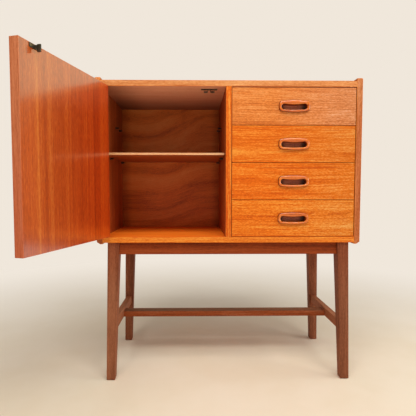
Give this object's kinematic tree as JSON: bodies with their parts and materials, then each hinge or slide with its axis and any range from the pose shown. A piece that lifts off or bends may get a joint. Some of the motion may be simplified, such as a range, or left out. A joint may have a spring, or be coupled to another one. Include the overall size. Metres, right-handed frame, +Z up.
{
  "type": "cabinet on stand",
  "caption": "Small teak cabinet with an open side-hung door over a shelved cupboard beside a stack of drawers, on a tapered-leg stand with an H stretcher.",
  "frame": {"origin": "on the floor under the middle of the whole cabinet with its door open as modelled", "axes": "+X to the right along the front, +Y from the front to the back, +Z up"},
  "size_m": [0.896, 0.7272, 0.946],
  "materials": {
    "case_teak": "satin lacquered teak veneer, orange-brown, fine straight grain",
    "door_veneer": "satin lacquered ribbon-striped mahogany-type veneer on the inner face, teak outside",
    "interior_veneer": "satin sealed red-brown ply, swirling rotary-cut figure",
    "stand_teak": "satin solid timber, darker brown than the case",
    "pull_teak": "glossy oiled solid teak, red-brown",
    "drawer_box_wood": "plain sealed hardwood",
    "hinge_metal": "dull lacquered brass-plated steel",
    "catch_steel": "bronzed blackened steel, satin"
  },
  "bodies": {
    "case": {"side_left": "case_teak", "side_right": "case_teak", "top_board": "case_teak", "bottom_board": "case_teak", "divider": "case_teak", "back_board": "interior_veneer", "shelf": "interior_veneer", "shelf_pin_left_front": "catch_steel", "shelf_pin_right_front": "catch_steel", "shelf_pin_left_back": "catch_steel", "shelf_pin_right_back": "catch_steel", "catch": "catch_steel", "leg_front_left": "stand_teak", "leg_front_right": "stand_teak", "leg_back_left": "stand_teak", "leg_back_right": "stand_teak", "apron_front": "stand_teak", "apron_back": "stand_teak", "apron_left": "stand_teak", "apron_right": "stand_teak", "stretcher_left": "stand_teak", "stretcher_right": "stand_teak", "stretcher_centre": "stand_teak", "hinge_case_leaf": "hinge_metal", "hinge_pin": "hinge_metal", "runner_1_left": "drawer_box_wood", "runner_1_right": "drawer_box_wood", "runner_2_left": "drawer_box_wood", "runner_2_right": "drawer_box_wood", "runner_3_left": "drawer_box_wood", "runner_3_right": "drawer_box_wood", "runner_4_left": "drawer_box_wood", "runner_4_right": "drawer_box_wood"},
    "drawer_1": {"drawer_1_front": "case_teak", "drawer_1_pull": "pull_teak", "drawer_1_left": "drawer_box_wood", "drawer_1_right": "drawer_box_wood", "drawer_1_back": "drawer_box_wood", "drawer_1_bottom": "drawer_box_wood"},
    "drawer_2": {"drawer_2_front": "case_teak", "drawer_2_pull": "pull_teak", "drawer_2_left": "drawer_box_wood", "drawer_2_right": "drawer_box_wood", "drawer_2_back": "drawer_box_wood", "drawer_2_bottom": "drawer_box_wood"},
    "drawer_3": {"drawer_3_front": "case_teak", "drawer_3_pull": "pull_teak", "drawer_3_left": "drawer_box_wood", "drawer_3_right": "drawer_box_wood", "drawer_3_back": "drawer_box_wood", "drawer_3_bottom": "drawer_box_wood"},
    "drawer_4": {"drawer_4_front": "case_teak", "drawer_4_pull": "pull_teak", "drawer_4_left": "drawer_box_wood", "drawer_4_right": "drawer_box_wood", "drawer_4_back": "drawer_box_wood", "drawer_4_bottom": "drawer_box_wood"},
    "door": {"door": "door_veneer", "hinge_door_leaf": "hinge_metal", "strike": "catch_steel"}
  },
  "joints": [
    {"name": "door_hinge", "type": "hinge", "parent": "case", "child": "door", "pos_m": [-0.35283, 0.00877, 0.69], "axis": [0, 0, 1], "range_deg": [-74.8, 105.2]},
    {"name": "drawer_1_slide", "type": "slide", "parent": "case", "child": "drawer_1", "axis": [0, -1, 0], "range_m": [0, 0.24]},
    {"name": "drawer_2_slide", "type": "slide", "parent": "case", "child": "drawer_2", "axis": [0, -1, 0], "range_m": [0, 0.24]},
    {"name": "drawer_3_slide", "type": "slide", "parent": "case", "child": "drawer_3", "axis": [0, -1, 0], "range_m": [0, 0.24]},
    {"name": "drawer_4_slide", "type": "slide", "parent": "case", "child": "drawer_4", "axis": [0, -1, 0], "range_m": [0, 0.24]}
  ]
}
